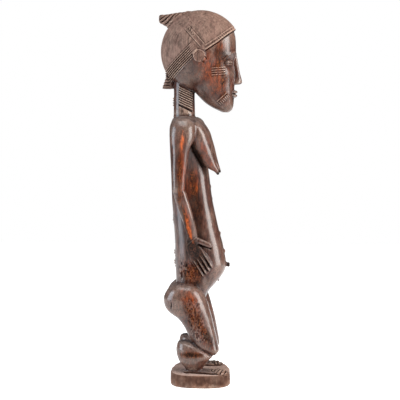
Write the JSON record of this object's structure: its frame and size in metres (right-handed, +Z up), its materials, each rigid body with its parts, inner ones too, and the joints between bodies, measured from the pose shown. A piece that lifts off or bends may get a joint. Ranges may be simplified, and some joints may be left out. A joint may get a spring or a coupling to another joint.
{
  "type": "standing female figure",
  "caption": "Dark oiled wooden carving of a standing woman with hands at her belly, bent legs, a twisted topknot and a round base, all cut from one block.",
  "frame": {"origin": "middle of the flat underside of the base", "axes": "+Z up through the crown, -Y the way she faces, +X her left side"},
  "size_m": [0.0912, 0.0932, 0.4204],
  "materials": {
    "dark_wood": "dark brown oiled hardwood, glossy on the rubbed body, matt on hair and base, reddish where worn"
  },
  "bodies": {
    "root": {"female_figure": "dark_wood"}
  },
  "joints": []
}
